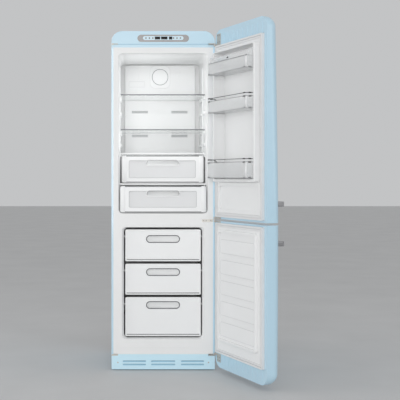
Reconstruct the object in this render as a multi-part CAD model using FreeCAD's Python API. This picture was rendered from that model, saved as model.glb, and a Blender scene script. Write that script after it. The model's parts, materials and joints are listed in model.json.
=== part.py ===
"""Upright two-door refrigerator: a fridge over a freezer, both doors hinged on the right.

Millimetres.  X runs across the front, Y from front to back, Z up.  The origin is on the
floor under the middle of the cabinet.  The doors are drawn shut and then swung open, so
that the stored part stands with both doors open.
"""
import FreeCAD, Part
import math
import os

V = FreeCAD.Vector
AXES = {"X": V(1, 0, 0), "Y": V(0, 1, 0), "Z": V(0, 0, 1)}

# ---------------------------------------------------------------- driving dimensions
WIDTH = 600.0
HEIGHT = 1968.0
DEPTH = 590.0                 # cabinet alone, doors and handles not counted
CORNER = 62.0                 # rounding of the two top corners, seen from the front
SHEET = 1.2                   # painted sheet steel
LINER = 2.0                   # thermoformed inner walls
FRAME = 4.0                   # thickness of the front frame and the control fascia

HALF = WIDTH / 2
FRONT = -DEPTH / 2
BACK = DEPTH / 2
FRAME_BACK = FRONT + FRAME
INSIDE = HALF - SHEET         # inner face of the side panels
FLANGE = 11.0                 # painted strip beside the front frame

KICK_TOP = 93.0
KICK_BOTTOM = 5.0
FOAM_BOTTOM = 96.0
STRIP_Z = (1873.0, 1892.0)    # painted strip under the control fascia

FRIDGE_MOUTH = ((-260.0, 260.0), (910.0, 1839.0))
FRIDGE_ROOM = ((-250.0, 250.0), (912.0, 1836.0))
FRIDGE_BACK = 243.0
FREEZER_MOUTH = ((-240.0, 240.0), (181.0, 831.0))
FREEZER_ROOM = ((-228.0, 228.0), (186.0, 826.0))
FREEZER_BACK = 215.0
MOUTH_FLARE = 22.0            # depth over which a mouth narrows to the room behind it
MACHINE_ROOM_Y = 90.0         # the compressor's space starts here and runs to the back
MACHINE_ROOM_TOP = 248.0
FREEZER_STEP = (62.0, 278.0)  # the freezer floor steps up over the compressor

# ---------------------------------------------------------------- doors
DOOR_GAP = 16.0               # cabinet front to the doors' inner faces, taken up by the seal
DOOR_FACE = FRONT - DOOR_GAP
THICKEST = 84.0               # door thickness beside the gap between the doors
CROWN = 59800.0               # radius of the gentle bow, top to bottom, over both doors
SIDE_ROUND = 40.0             # rounding of a door's upright outer edges
END_ROUND = 58.0              # rounding of its outer end: the upper's top, the lower's bottom
UPPER_DOOR_Z = (880.0, 1968.0)
LOWER_DOOR_Z = (26.0, 868.0)
GAP_Z = 874.0
UPPER_SEAL_Z = (893.0, 1876.0)
LOWER_SEAL_Z = (113.0, 858.0)
SEAL_HALF = 273.0
SEAL_WIDTH = 23.0
SEAL_PLAY = 0.5
STEP_HIGH = 12.0              # low step of a door's moulded inner face, inside the seal
BACKING = DOOR_FACE - LINER
PIN = V(297.0, -303.0, 0.0)   # the hinge line
PIN_R = 2.5
PIN_PLAY = 0.05
KNUCKLE_R = 4.5
PLATE_X = (232.0, 278.0)      # the hinge plates screwed to the doors' inner faces
OPEN_ANGLE = 111.0            # how far the doors stand open as stored

BIN_HALF = 229.0
BIN_BACK = -333.0
BIN_WALL = 2.5
TOP_BIN = {"z": (1698.0, 1761.0), "front": -225.0}
MIDDLE_BIN = {"z": (1483.0, 1548.0), "front": -225.0}
BOTTOM_BIN = {"z": (1115.0, 1201.0), "front": -223.0}
CHEEK_TOP = 1798.0
LID_PIVOT = (-248.0, 1792.0)
LID_FOOT = (-232.0, 1763.5)
LID_PIN_R = 2.0

HANDLE_X = (-287.0, -87.0)
HANDLE_FRONT = DOOR_FACE - 109.0
HANDLE_DEEP = 10.0
HANDLE_HIGH = 27.0
UPPER_HANDLE_Z = 979.0
LOWER_HANDLE_Z = 770.0

# ---------------------------------------------------------------- inside the fridge
SHELF_TOPS = {"shelf_upper": 1606.0, "shelf_lower": 1401.0}
SHELF_HALF = 247.0
SHELF_Y = (-228.0, 162.0)
SHELF_THICK = 7.0
COVER_Z = (1256.0, 1262.0)
DIVIDER_Z = (1073.0, 1085.0)
UPPER_CRISPER = {"half": 242.0, "z": (1087.0, 1248.0), "front": -209.0, "back": 150.0}
LOWER_CRISPER = {"half": 250.0, "z": (915.0, 1069.0), "front": -292.0, "back": 120.0}
CRISPER_PANEL = 6.0
GRIP = (187.0, 29.0)

DUCT_FACE = 225.0
VENT_SIZE = (104.0, 16.0)
VENT_CENTRES = [(x, z) for z in (1534.0, 1382.0) for x in (-128.0, 123.5)]
FAN = V(0.0, DUCT_FACE, 1756.0)
FAN_HOLE = 52.0

# ---------------------------------------------------------------- freezer drawers
DRAWER_HALF = 220.0
DRAWER_FRONT = -272.0
DRAWERS = {
    "freezer_drawer_top": {"z": (630.0, 816.0), "slot": 760.0, "back": 130.0},
    "freezer_drawer_middle": {"z": (435.0, 616.0), "slot": 567.0, "back": 130.0},
    "freezer_drawer_bottom": {"z": (194.0, 421.0), "slot": 375.0, "back": 50.0},
}
DRAWER_SLOT = (190.0, 37.0)

# ---------------------------------------------------------------- control panel
PANEL_Z = 1926.0
SURROUND = (299.0, 41.0)
INSERT = (236.0, 23.0)
INSERT_Z = 1927.5
BUTTON_X = (-100.0, -80.0, -60.0, 60.0, 80.0, 100.0)
BUTTON_R = 4.0

# ---------------------------------------------------------------- running gear
FOOT_X = 250.0
FOOT_Y = -250.0
ROLLER_X = 255.0
ROLLER_Y = 262.0
ROLLER_R = 12.0
BASE_Z = (22.0, 24.0)


# ---------------------------------------------------------------- shape helpers
def block(x, y, z):
    """A plain box from its three (low, high) pairs."""
    return Part.makeBox(x[1] - x[0], y[1] - y[0], z[1] - z[0], V(x[0], y[0], z[0]))


def both(half):
    return (-half, half)


def rounded(shape, axis, radius):
    """The shape with every straight edge that runs along the axis rounded."""
    edges = [e for e in shape.Edges if isinstance(e.Curve, Part.Line)
             and abs(abs(e.tangentAt(e.FirstParameter).dot(AXES[axis])) - 1) < 1e-6]
    return shape.makeFillet(radius, edges)


def soft_block(x, y, z, axis, radius):
    return rounded(block(x, y, z), axis, radius)


def drum(base, axis, radius, length):
    return Part.makeCylinder(radius, length, base, AXES[axis])


def join(shapes):
    shapes = list(shapes)
    if len(shapes) == 1:
        return shapes[0]
    return shapes[0].multiFuse(shapes[1:]).removeSplitter()


def cut(shape, *tools):
    for tool in tools:
        shape = shape.cut(tool)
    return shape


def group(shapes):
    return Part.makeCompound(list(shapes))


def mirrored(shape):
    return shape.mirror(V(0, 0, 0), V(1, 0, 0))


def stadium(centre_x, centre_z, size, y):
    """A flat bar with half-round ends, length and height in size, lying in the XZ plane."""
    x = (centre_x - size[0] / 2, centre_x + size[0] / 2)
    z = (centre_z - size[1] / 2, centre_z + size[1] / 2)
    return soft_block(x, y, z, "Y", size[1] / 2 - 0.01)


def arch(half, low, high, y, radius):
    """A tall slab whose two top corners are rounded, seen from the front."""
    slab = block(both(half), y, (low, high))
    top = [e for e in slab.Edges if e.BoundBox.YLength > 1 and e.BoundBox.ZMin > high - 1
           and e.BoundBox.XLength < 1]
    return slab.makeFillet(radius, top)


def frustum(front, back, y, radius):
    """A rounded rectangular funnel between two openings, each given as (x pair, z pair)."""
    wires = []
    for (x, z), at in ((front, y[0]), (back, y[1])):
        plate = soft_block(x, (at, at + 1), z, "Y", radius)
        face = min(plate.Faces, key=lambda f: f.CenterOfMass.y)
        wires.append(face.OuterWire)
    return Part.makeLoft(wires, True, True)


def grown(pairs, by):
    return tuple((low - by, high + by) for low, high in pairs)


def room(mouth, inner, back, by):
    """The space of a compartment with its flared mouth, larger all round by the given amount."""
    mouth = grown(mouth, by)
    inner = grown(inner, by)
    flare_end = FRAME_BACK + MOUTH_FLARE
    straight = soft_block(inner[0], (flare_end - 1, back + by), inner[1], "Y", 24.0 + by)
    return join([frustum(mouth, inner, (FRAME_BACK, flare_end), 24.0 + by), straight])


def swing(shape):
    """From the shut door's place to where it stands open."""
    turned = shape.copy()
    turned.rotate(PIN, V(0, 0, 1), OPEN_ANGLE)
    return turned


# ---------------------------------------------------------------- cabinet
def cabinet_shell():
    outer = arch(HALF, 8.0, HEIGHT, (FRONT, BACK), CORNER)
    inner = arch(INSIDE, -10.0, HEIGHT - SHEET, (FRONT - 1, BACK + 1), CORNER - SHEET)
    strip = block((HALF - FLANGE, HALF), (FRONT, FRONT + SHEET), (KICK_TOP, STRIP_Z[0]))
    floor_sheet = block(both(INSIDE), (FRAME_BACK, MACHINE_ROOM_Y),
                        (FOAM_BOTTOM - SHEET, FOAM_BOTTOM))
    return join([outer.cut(inner), strip, mirrored(strip), floor_sheet])


def back_panel():
    sheet = block(both(INSIDE - 16), (BACK - 1.5, BACK), (MACHINE_ROOM_TOP, HEIGHT - 24))
    ribs = [stadium(0.0, z, (470.0, 22.0), (BACK - 3.0, BACK)) for z in range(420, 1900, 180)]
    grooves = [stadium(0.0, z, (467.0, 19.0), (BACK - 1.5, BACK + 1)) for z in range(420, 1900, 180)]
    return cut(join([sheet] + ribs), *grooves)


def back_trim():
    """The folded edge of the shell that frames the back panel."""
    frame = arch(INSIDE, MACHINE_ROOM_TOP, HEIGHT - SHEET, (BACK - 1.5, BACK), CORNER - SHEET)
    return frame.cut(block(both(INSIDE - 16), (BACK - 2, BACK + 1), (0, HEIGHT - 24)))


def bracket_pockets():
    """Room in the foam and the trims for the top and bottom hinge plates."""
    top = block((262.0, INSIDE), (FRONT - 1, FRONT + 34), (1888.0, 1897.0))
    bottom = block((262.0, INSIDE), (FRONT - 1, FRONT + 34), (84.0, 95.0))
    return [top, bottom, mirrored(top), mirrored(bottom)]


def machine_room():
    """The compressor's space: a straight box whose front wall leans back at the top."""
    y0, y1 = MACHINE_ROOM_Y, BACK + 1
    return block(both(INSIDE + 1), (y0, y1), (-1.0, MACHINE_ROOM_TOP))


def freezer_room(by):
    """The freezer's space, with its floor stepped up over the compressor."""
    space = room(FREEZER_MOUTH, FREEZER_ROOM, FREEZER_BACK, by)
    step_y, step_z = FREEZER_STEP
    return space.cut(block(both(400), (step_y + by, 400.0), (0.0, step_z - by)))


def side_light_box():
    return block((248.8, 254.0), (-65.0, -25.0), (1265.0, 1757.0))


def cabinet_foam():
    fill = arch(INSIDE, FOAM_BOTTOM, HEIGHT - SHEET, (FRAME_BACK, BACK - 3.0), CORNER - SHEET)
    button_room = block(both(120), (FRAME_BACK - 1, FRONT + 14), (1912.0, 1943.0))
    return cut(fill, room(FRIDGE_MOUTH, FRIDGE_ROOM, FRIDGE_BACK, LINER), freezer_room(LINER),
               machine_room(), side_light_box(), button_room, *bracket_pockets())


def front_frame():
    slab = block(both(HALF - FLANGE), (FRONT, FRAME_BACK), (KICK_TOP, STRIP_Z[0]))
    mouths = [soft_block(x, (FRONT - 1, FRAME_BACK + 1), z, "Y", 24.0)
              for x, z in (FRIDGE_MOUTH, FREEZER_MOUTH)]
    lines = []
    for low, high in ((131.0, 846.0), (893.0, 1862.0)):
        outer = soft_block(both(277), (FRONT - 1, FRONT + 0.8), (low, high), "Y", 8.0)
        inner = soft_block(both(275.5), (FRONT - 2, FRONT + 2), (low + 1.5, high - 1.5), "Y", 6.5)
        lines.append(outer.cut(inner))
    return cut(slab, *(mouths + lines + bracket_pockets()))


def shelf_ledges():
    """Ribs pressed into the fridge walls: the shelves and the crisper cover rest on them."""
    tops = [top - SHELF_THICK for top in SHELF_TOPS.values()] + [COVER_Z[0], DIVIDER_Z[0]]
    spare = [1510.0, 1322.0]
    ledges = []
    for top in tops + spare:
        for y in ((-212.0, -92.0), (10.0, 160.0)):
            ledges.append(soft_block((243.0, 251.0), y, (top - 16.4, top - 0.4), "Y", 2.0))
    return ledges + [mirrored(one) for one in ledges]


def fridge_liner():
    outer = room(FRIDGE_MOUTH, FRIDGE_ROOM, FRIDGE_BACK, LINER)
    inner = room(FRIDGE_MOUTH, FRIDGE_ROOM, FRIDGE_BACK, 0.0)
    open_front = block(both(HALF), (FRONT - 5, FRAME_BACK), (800.0, 1900.0))
    return cut(join([outer.cut(inner)] + shelf_ledges()), open_front, side_light_box())


def drawer_rails():
    rails = []
    for drawer in DRAWERS.values():
        rim = drawer["z"][1] - 34.0
        rails.append(block((211.0, 229.0), (-248.0, drawer["back"]), (rim - 12.4, rim - 3.4)))
    return rails + [mirrored(one) for one in rails]


def freezer_liner():
    open_front = block(both(HALF), (FRONT - 5, FRAME_BACK), (100.0, 860.0))
    walls = freezer_room(LINER).cut(freezer_room(0.0))
    return cut(join([walls] + drawer_rails()), open_front)


# ---------------------------------------------------------------- air duct and fan
def air_duct_cover():
    cover = soft_block(both(224.0), (DUCT_FACE, FRIDGE_BACK), (930.0, 1830.0), "Y", 22.0)
    hollow = soft_block(both(221.5), (DUCT_FACE + 2.5, FRIDGE_BACK - 2.0), (932.5, 1827.5), "Y", 19.5)
    vents = [block((x - VENT_SIZE[0] / 2, x + VENT_SIZE[0] / 2), (DUCT_FACE - 1, DUCT_FACE + 3),
                   (z - VENT_SIZE[1] / 2, z + VENT_SIZE[1] / 2)) for x, z in VENT_CENTRES]
    louvres = [block((x - VENT_SIZE[0] / 2, x + VENT_SIZE[0] / 2), (DUCT_FACE + 0.6, DUCT_FACE + 2.2),
                     (z + dz - 0.8, z + dz + 0.8)) for x, z in VENT_CENTRES for dz in (-4.0, 0.0, 4.0)]
    sensor = block((-197.0, -97.0), (DUCT_FACE - 1.0, DUCT_FACE + 1), (1693.0, 1728.0))
    mouth = drum(V(0, DUCT_FACE - 2, FAN.z), "Y", FAN_HOLE, 6.0)
    spindle = drum(V(0, DUCT_FACE + 5, FAN.z), "Y", 3.0, 11.5)
    plain = cut(join([cover, sensor]), hollow, mouth, *vents)
    return join([plain, spindle] + louvres)


def fan_cover():
    pad = soft_block(both(64.5), (DUCT_FACE - 3, DUCT_FACE), (FAN.z - 72.5, FAN.z + 72.5), "Y", 34.0)
    ring = drum(V(0, DUCT_FACE - 4, FAN.z), "Y", 52.0, 5.0).cut(
        drum(V(0, DUCT_FACE - 4, FAN.z), "Y", 49.5, 5.0))
    spokes = join([block(both(60), (DUCT_FACE - 1.2, DUCT_FACE), (FAN.z - 5, FAN.z + 5)),
                   block(both(5), (DUCT_FACE - 1.2, DUCT_FACE), (FAN.z - 60, FAN.z + 60))])
    return join([pad.cut(ring), spokes.common(drum(V(0, DUCT_FACE - 4, FAN.z), "Y", 55.0, 5.0))])


def fridge_fan():
    """A slim axial fan: a hub on the spindle and seven pitched blades."""
    low, high = DUCT_FACE + 4.0, DUCT_FACE + 13.0
    hub = drum(V(0, low, FAN.z), "Y", 13.0, high - low)
    blades = []
    for index in range(7):
        blade = block((8.0, 44.0), (-0.8, 0.8), (-9.0, 9.0))
        blade.rotate(V(0, 0, 0), AXES["X"], 24.0)
        blade.translate(V(0, (low + high) / 2, FAN.z))
        blade.rotate(FAN, AXES["Y"], index * 360.0 / 7)
        blades.append(blade)
    bore = drum(V(0, low - 1, FAN.z), "Y", 3.05, high - low + 2)
    return join([hub] + blades).cut(bore)


def evaporator_cover():
    panel = soft_block(both(226.0), (138.0, 141.0), (FREEZER_STEP[1] + 1, 822.0), "Y", 22.5)
    slots = [stadium(x, z, (120.0, 9.0), (137.0, 142.0)) for z in (800.0, 605.0, 425.0)
             for x in (-95.0, 95.0)]
    return cut(panel, *slots)


def evaporator():
    fins = [block((x, x + 1.0), (152.0, 204.0), (440.0, 700.0)) for x in range(-190, 191, 20)]
    tubes = [drum(V(-200.0, y, z), "X", 4.0, 400.0) for y in (165.0, 191.0) for z in range(470, 700, 50)]
    return join(fins + tubes)


# ---------------------------------------------------------------- control panel
def button_holes():
    return [drum(V(x, FRONT - 5, INSERT_Z), "Y", BUTTON_R + 0.3, 12.0) for x in BUTTON_X]


def control_fascia():
    face = arch(INSIDE, STRIP_Z[1], HEIGHT - SHEET, (FRONT, FRAME_BACK), CORNER - SHEET)
    strip = block(both(INSIDE), (FRONT + 1, FRAME_BACK), STRIP_Z)
    return cut(join([face, strip]), *(button_holes() + bracket_pockets()))


def control_surround():
    ring = stadium(0.0, PANEL_Z, SURROUND, (FRONT - 1.8, FRONT))
    return ring.cut(stadium(0.0, INSERT_Z, INSERT, (FRONT - 3, FRONT + 1)))


def control_insert():
    plate = stadium(0.0, INSERT_Z, INSERT, (FRONT - 1.2, FRONT))
    windows = []
    for x in ((-47.5, -15.6), (-9.0, 22.7), (35.5, 52.3)):
        windows.append(soft_block(x, (FRONT - 1.8, FRONT - 1.0), (INSERT_Z - 7, INSERT_Z + 7), "Y", 3.0))
    return cut(join([plate] + windows), *button_holes())


def button(x):
    cap = drum(V(x, FRONT - 2.6, INSERT_Z), "Y", BUTTON_R, 9.0)
    return cap.makeChamfer(0.4, [e for e in cap.Edges if e.BoundBox.YMax < FRONT - 2])


# ---------------------------------------------------------------- kick plate and base
def kick_plate():
    outer = block(both(HALF - SHEET), (FRONT, FRONT + 14), (KICK_BOTTOM, KICK_TOP))
    hollow = block(both(HALF - 3 * SHEET), (FRONT + 2, FRONT + 20), (KICK_BOTTOM + 2, KICK_TOP - 2))
    vents = [stadium((x0 + x1) / 2, z, (x1 - x0, 9.0), (FRONT - 1, FRONT + 3))
             for x0, x1 in ((-235.0, -100.0), (-70.0, 70.0), (103.0, 237.0)) for z in (33.0, 52.0)]
    return cut(outer, hollow, *(vents + bracket_pockets()))


def kick_plate_screws():
    screws = []
    for x in (-263.0, 263.0):
        head = drum(V(x, FRONT - 1.5, 45.0), "Y", 4.0, 1.5)
        cross = join([block((x - 2.2, x + 2.2), (FRONT - 2, FRONT - 0.8), (44.5, 45.5)),
                      block((x - 0.5, x + 0.5), (FRONT - 2, FRONT - 0.8), (42.8, 47.2))])
        screws.append(head.cut(cross))
    return group(screws)


def hinge_slot_plugs():
    """Plain plugs in the two unused hinge slots on the left."""
    return group(block((-INSIDE + 0.2, -262.2), (FRONT - 0.4, FRONT + 8), z)
                 for z in ((1888.2, 1896.8), (84.2, 92.8)))


def base_pan():
    """The floor of the cabinet: carries the feet, the rear rollers and the compressor."""
    sheet = block(both(INSIDE), (FRONT + 16, BACK - 8), BASE_Z)
    lip = block(both(INSIDE), (BACK - 10, BACK - 8), (BASE_Z[0], BASE_Z[0] + 18))
    bosses = [drum(V(x, FOOT_Y, BASE_Z[0]), "Z", 10.0, 22.0) for x in (-FOOT_X, FOOT_X)]
    bores = [drum(V(x, FOOT_Y, BASE_Z[0] - 5), "Z", 5.05, 40.0) for x in (-FOOT_X, FOOT_X)]
    wells = [block((x - 11, x + 11), (ROLLER_Y - 15, ROLLER_Y + 15), (0.0, BASE_Z[1] + 1))
             for x in (-ROLLER_X, ROLLER_X)]
    cheeks = []
    for x in (-ROLLER_X, ROLLER_X):
        for side in (-1, 1):
            near, far = sorted((x + side * 9.0, x + side * 12.0))
            cheeks.append(block((near, far), (ROLLER_Y - 9, ROLLER_Y + 9), (5.0, BASE_Z[0] + 1)))
    axles = [drum(V(x - 12, ROLLER_Y, ROLLER_R), "X", 3.0, 24.0) for x in (-ROLLER_X, ROLLER_X)]
    pan = cut(join([sheet, lip] + bosses), *(bores + wells))
    return join([pan] + cheeks + axles)


def foot(x):
    pad = drum(V(x, FOOT_Y, 0.0), "Z", 19.0, 7.0)
    pad = pad.makeFillet(1.5, [e for e in pad.Edges if e.BoundBox.ZMin > 6])
    nut = Part.Face(Part.makePolygon([V(x + 9 * math.cos(math.radians(60 * k)),
                                        FOOT_Y + 9 * math.sin(math.radians(60 * k)), 7.0)
                                      for k in range(7)])).extrude(V(0, 0, 6))
    return join([pad, nut, drum(V(x, FOOT_Y, 7.0), "Z", 5.0, 55.0)])


def rear_rollers():
    rollers = []
    for x in (-ROLLER_X, ROLLER_X):
        wheel = drum(V(x - 7.5, ROLLER_Y, ROLLER_R), "X", ROLLER_R, 15.0)
        wheel = wheel.makeFillet(1.5, wheel.Edges[:1] + wheel.Edges[2:])
        rollers.append(wheel.cut(drum(V(x - 8, ROLLER_Y, ROLLER_R), "X", 3.05, 16.0)))
    return group(rollers)


def serpentine(x, y, levels, bend, tube):
    """Parallel straight tubes joined by half-round bends, as one bent tube."""
    edges = []
    for index, z in enumerate(levels):
        ends = (x[0], x[1]) if index % 2 == 0 else (x[1], x[0])
        edges.append(Part.LineSegment(V(ends[0], y, z), V(ends[1], y, z)).toShape())
        if index + 1 < len(levels):
            out = bend if ends[1] > ends[0] else -bend
            middle = V(ends[1] + out, y, z + bend)
            edges.append(Part.Arc(V(ends[1], y, z), middle, V(ends[1], y, z + 2 * bend)).toShape())
    path = Part.Wire(edges)
    section = Part.Wire(Part.Circle(V(x[0], y, levels[0]), V(1, 0, 0), tube / 2).toShape())
    return path.makePipeShell([section], True, False)


def condenser():
    levels = [50.0 + 24.0 * k for k in range(7)]
    coil = serpentine((-255.0, -10.0), 236.0, levels, 12.0, 6.0)
    wires = [drum(V(x, 232.5, 44.0), "Z", 1.2, 156.0) for x in range(-240, -10, 15)]
    stand = block((-150.0, -130.0), (234.0, 238.0), (BASE_Z[1], 51.0))
    return join([coil, stand] + wires)


def compressor():
    centre = V(130.0, 195.0, 0.0)
    pot = drum(centre + V(0, 0, 46), "Z", 70.0, 128.0)
    pot = pot.makeFillet(34.0, [e for e in pot.Edges if e.BoundBox.ZLength < 1])
    seam = drum(centre + V(0, 0, 112), "Z", 73.0, 5.0)
    feet = soft_block((centre.x - 85, centre.x + 85), (centre.y - 55, centre.y + 55), (40.0, 44.0), "Z", 12.0)
    neck = drum(centre + V(0, 0, 42), "Z", 40.0, 12.0)
    grommets = [drum(V(centre.x + dx, centre.y + dy, BASE_Z[1]), "Z", 9.0, 22.0)
                for dx in (-70.0, 70.0) for dy in (-42.0, 42.0)]
    starter = soft_block((centre.x + 55, centre.x + 98), (centre.y - 28, centre.y + 28),
                         (80.0, 140.0), "X", 6.0)
    pipe = drum(centre + V(-30, 20, 160), "Z", 4.0, 50.0)
    return join([pot, seam, feet, neck, starter, pipe] + grommets)


def power_inlet():
    """A plain appliance inlet on a small bracket beside the compressor."""
    body = soft_block((250.0, 284.0), (262.0, 284.0), (60.0, 86.0), "Y", 5.0)
    socket = soft_block((254.0, 280.0), (272.0, 285.0), (64.0, 82.0), "Y", 4.0)
    pins = [block((x - 1.0, x + 1.0), (271.0, 281.0), (71.0, 75.0)) for x in (260.0, 267.0, 274.0)]
    bracket = block((262.0, 272.0), (258.0, 262.0), (BASE_Z[1], 80.0))
    return join([body.cut(socket), bracket] + pins)


# ---------------------------------------------------------------- hinges
def knuckle(z):
    """A door's hinge eye and the strap that joins it to the door's inner face."""
    eye = drum(V(PIN.x, PIN.y, z[0]), "Z", KNUCKLE_R, z[1] - z[0])
    web = block((PIN.x - 4.0, PIN.x + 3.0), (DOOR_FACE, PIN.y), z)
    strap = block((PLATE_X[0], HALF), (DOOR_FACE, DOOR_FACE + 2), z)
    return [eye, web, strap], drum(V(PIN.x, PIN.y, z[0] - 1), "Z", PIN_R + PIN_PLAY, z[1] - z[0] + 2)


def hinge_plates(eyes, plate_z):
    solids, bores = [], []
    for eye in eyes:
        pieces, bore = knuckle(eye)
        solids += pieces
        bores.append(bore)
    z0, z1 = plate_z
    solids.append(block(PLATE_X, (DOOR_FACE, DOOR_FACE + 2), (z0, z1)))
    holes = [drum(V(x, DOOR_FACE - 1, z), "Y", 3.0, 4.0) for x in (PLATE_X[0] + 12, PLATE_X[1] - 12)
             for z in (z0 + 9, z1 - 9)]
    return cut(group([join(solids[:3] + solids[6:]), join(solids[3:6])]), *(bores + holes))


def bracket(z, pin_z):
    """A hinge plate that reaches forward from the cabinet and holds the pin."""
    tongue = block((264.0, PIN.x), (PIN.y, FRONT + 30), z)
    nose = drum(V(PIN.x, PIN.y, z[0]), "Z", KNUCKLE_R, z[1] - z[0])
    side = block((PIN.x - 1, INSIDE - 0.2), (FRONT + 1, FRONT + 30), z)
    pin = drum(V(PIN.x, PIN.y, pin_z[0]), "Z", PIN_R, pin_z[1] - pin_z[0])
    corner = block((264.0, PIN.x - 6), (PIN.y - 5, PIN.y), z)
    return join([tongue, nose, side, pin, corner])


def middle_bracket():
    tongue = block((262.0, PIN.x), (PIN.y, FRONT), (872.0, 876.0))
    nose = drum(V(PIN.x, PIN.y, 872.0), "Z", KNUCKLE_R, 4.0)
    plate = soft_block((225.0, 288.0), (FRONT - 2, FRONT), (861.0, 876.0), "Y", 3.0)
    pin = drum(V(PIN.x, PIN.y, 862.0), "Z", PIN_R, 25.0)
    screws = [drum(V(x, FRONT - 3.5, 868.0), "Y", 4.0, 1.6) for x in (234.0, 250.0, 276.0)]
    return join([tongue, nose, plate, pin] + screws)


def hinge_brackets():
    return group([bracket((1890.0, 1894.0), (1877.5, 1890.0)), middle_bracket(),
                  bracket((88.0, 92.0), (92.0, 103.5))])


# ---------------------------------------------------------------- doors
def fillet_radii(shape, end, inset):
    """Edge number and its two end radii for every outer edge of a door, except by the gap.

    The upright edges take the side rounding, the outer end its larger one, and the rounded
    corners between them change from one to the other.
    """
    side, far = SIDE_ROUND - inset, END_ROUND - inset
    radii = []
    for number, edge in enumerate(shape.Edges, start=1):
        box = edge.BoundBox
        flat = box.ZLength < 1
        if box.YMax > DOOR_FACE - 50 or (flat and abs(box.ZMin - end) > 100):
            continue
        if box.XLength < 1:
            radii.append((number, side, side))
        elif flat:
            radii.append((number, far, far))
        else:
            starts_at_end = (abs(edge.valueAt(edge.FirstParameter).z - end)
                             < abs(edge.valueAt(edge.LastParameter).z - end))
            radii.append((number, far, side) if starts_at_end else (number, side, far))
    return radii


def door_body(z, inset):
    """The soft-edged, gently bowed slab of a door; inset gives the skin's inner face."""
    low, high = z[0] + inset, z[1] - inset
    slab = block(both(HALF - inset), (DOOR_FACE - THICKEST - 5, DOOR_FACE - inset), (low, high))
    end = high if z == UPPER_DOOR_Z else low
    corners = [e for e in slab.Edges if e.BoundBox.YLength > 1 and abs(e.BoundBox.ZMin - end) < 1
               and e.BoundBox.ZLength < 1]
    slab = slab.makeFillet(CORNER - inset, corners)
    bow = drum(V(-400, DOOR_FACE - THICKEST + CROWN, GAP_Z), "X", CROWN - inset, 800.0)
    slab = slab.common(bow)
    sheet = FreeCAD.newDocument("door")
    base = sheet.addObject("Part::Feature", "slab")
    base.Shape = slab
    softened = sheet.addObject("Part::Fillet", "softened")
    softened.Base = base
    softened.Edges = fillet_radii(slab, end, inset)
    sheet.recompute()
    shape = softened.Shape.copy()
    FreeCAD.closeDocument("door")
    return shape


def door_skin(z, seal_z, ribs_z):
    outer, inner = door_body(z, 0.0), door_body(z, SHEET)
    window = block(both(SEAL_HALF), (DOOR_FACE - 2 * SHEET, DOOR_FACE + 1), seal_z)
    ribs = [block((x - 1.5, x + 1.5), (DOOR_FACE - 0.2, DOOR_FACE + 1.0), ribs_z)
            for x in range(-250, 195, 55)]
    return join([cut(outer, inner, window)] + ribs)


def raised_pan(half, z, crest, rims, floor, radius):
    """A moulded tray on a door liner: a raised rim around a sunk floor.

    rims holds the rim's width at the sides and bottom, and at the top.  Returns its outer
    form, the sunk space, the tray behind that space, and the core of foam inside the rim.
    """
    rim, rim_top = rims
    outer = soft_block(both(half), (BACKING, crest), z, "Y", radius)
    outer = outer.makeFillet(5.0, [e for e in outer.Edges if e.BoundBox.YMin > crest - 0.01])
    z_in = (z[0] + rim, z[1] - rim_top)
    sunk = soft_block(both(half - rim), (floor, crest + 1), z_in, "Y", radius - 4)
    z_tray = (z_in[0] - LINER, z_in[1] + LINER)
    tray = soft_block(both(half - rim + LINER), (floor - LINER, crest - LINER), z_tray,
                      "Y", radius - 4 + LINER)
    z_core = (z[0] + LINER, z[1] - LINER)
    core = soft_block(both(half - LINER), (BACKING, crest - LINER - 3), z_core, "Y", radius - LINER)
    return outer, sunk, tray, core


def door_liner_and_foam(z, seal_z, pans, extras):
    """The moulded inner face of a door, and the foam between it and the skin.

    The face has a low step inside the seal, and the pans stand on that step.
    """
    slab = block(both(SEAL_HALF), (BACKING, DOOR_FACE), seal_z)
    step_half = SEAL_HALF - SEAL_WIDTH - 0.5
    step_z = (seal_z[0] + SEAL_WIDTH + 0.5, seal_z[1] - SEAL_WIDTH - 0.5)
    step = block(both(step_half), (BACKING, DOOR_FACE + STEP_HIGH), step_z)
    step_core = block(both(step_half - LINER), (BACKING, DOOR_FACE + STEP_HIGH - LINER),
                      (step_z[0] + LINER, step_z[1] - LINER))
    trays = [tray for outer, sunk, tray, core in pans]
    fill = join([step_core] + [core for outer, sunk, tray, core in pans]).cut(join(trays))
    liner = join([slab, step] + [outer for outer, sunk, tray, core in pans] + trays)
    liner = cut(liner, fill, *[sunk for outer, sunk, tray, core in pans])
    foam = cut(door_body(z, SHEET), slab, *trays).fuse(fill)
    return join([liner] + extras), cut(foam, *extras).removeSplitter()


def bin_lugs():
    """Small brackets on the liner's side walls that carry the bins."""
    lugs = []
    for one in (TOP_BIN, MIDDLE_BIN, BOTTOM_BIN):
        low = one["z"][0]
        lugs.append(block((221.0, 232.0), (-322.0, -286.0), (low - 6.0, low - 0.4)))
    return lugs + [mirrored(lug) for lug in lugs]


def upper_door_liner_and_foam():
    deep = raised_pan(247.0, (1094.0, 1832.0), DOOR_FACE + 46.0, (16.0, 6.0), DOOR_FACE - 24.0, 14.0)
    shallow = raised_pan(247.0, (917.0, 1093.0), DOOR_FACE + 15.0, (22.0, 22.0), DOOR_FACE + 6.0, 22.0)
    return door_liner_and_foam(UPPER_DOOR_Z, UPPER_SEAL_Z, [deep, shallow], bin_lugs())


def lower_door_liner_and_foam():
    floor = DOOR_FACE + 16.0
    pan = raised_pan(225.0, (189.0, 822.0), DOOR_FACE + 29.0, (15.0, 15.0), floor, 18.0)
    panels = [soft_block(both(198.0), (floor - 0.5, floor + 3.5), (z, z + 77.0), "Y", 14.0)
              for z in range(222, 700, 117)]
    return door_liner_and_foam(LOWER_DOOR_Z, LOWER_SEAL_Z, [pan], panels)


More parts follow.
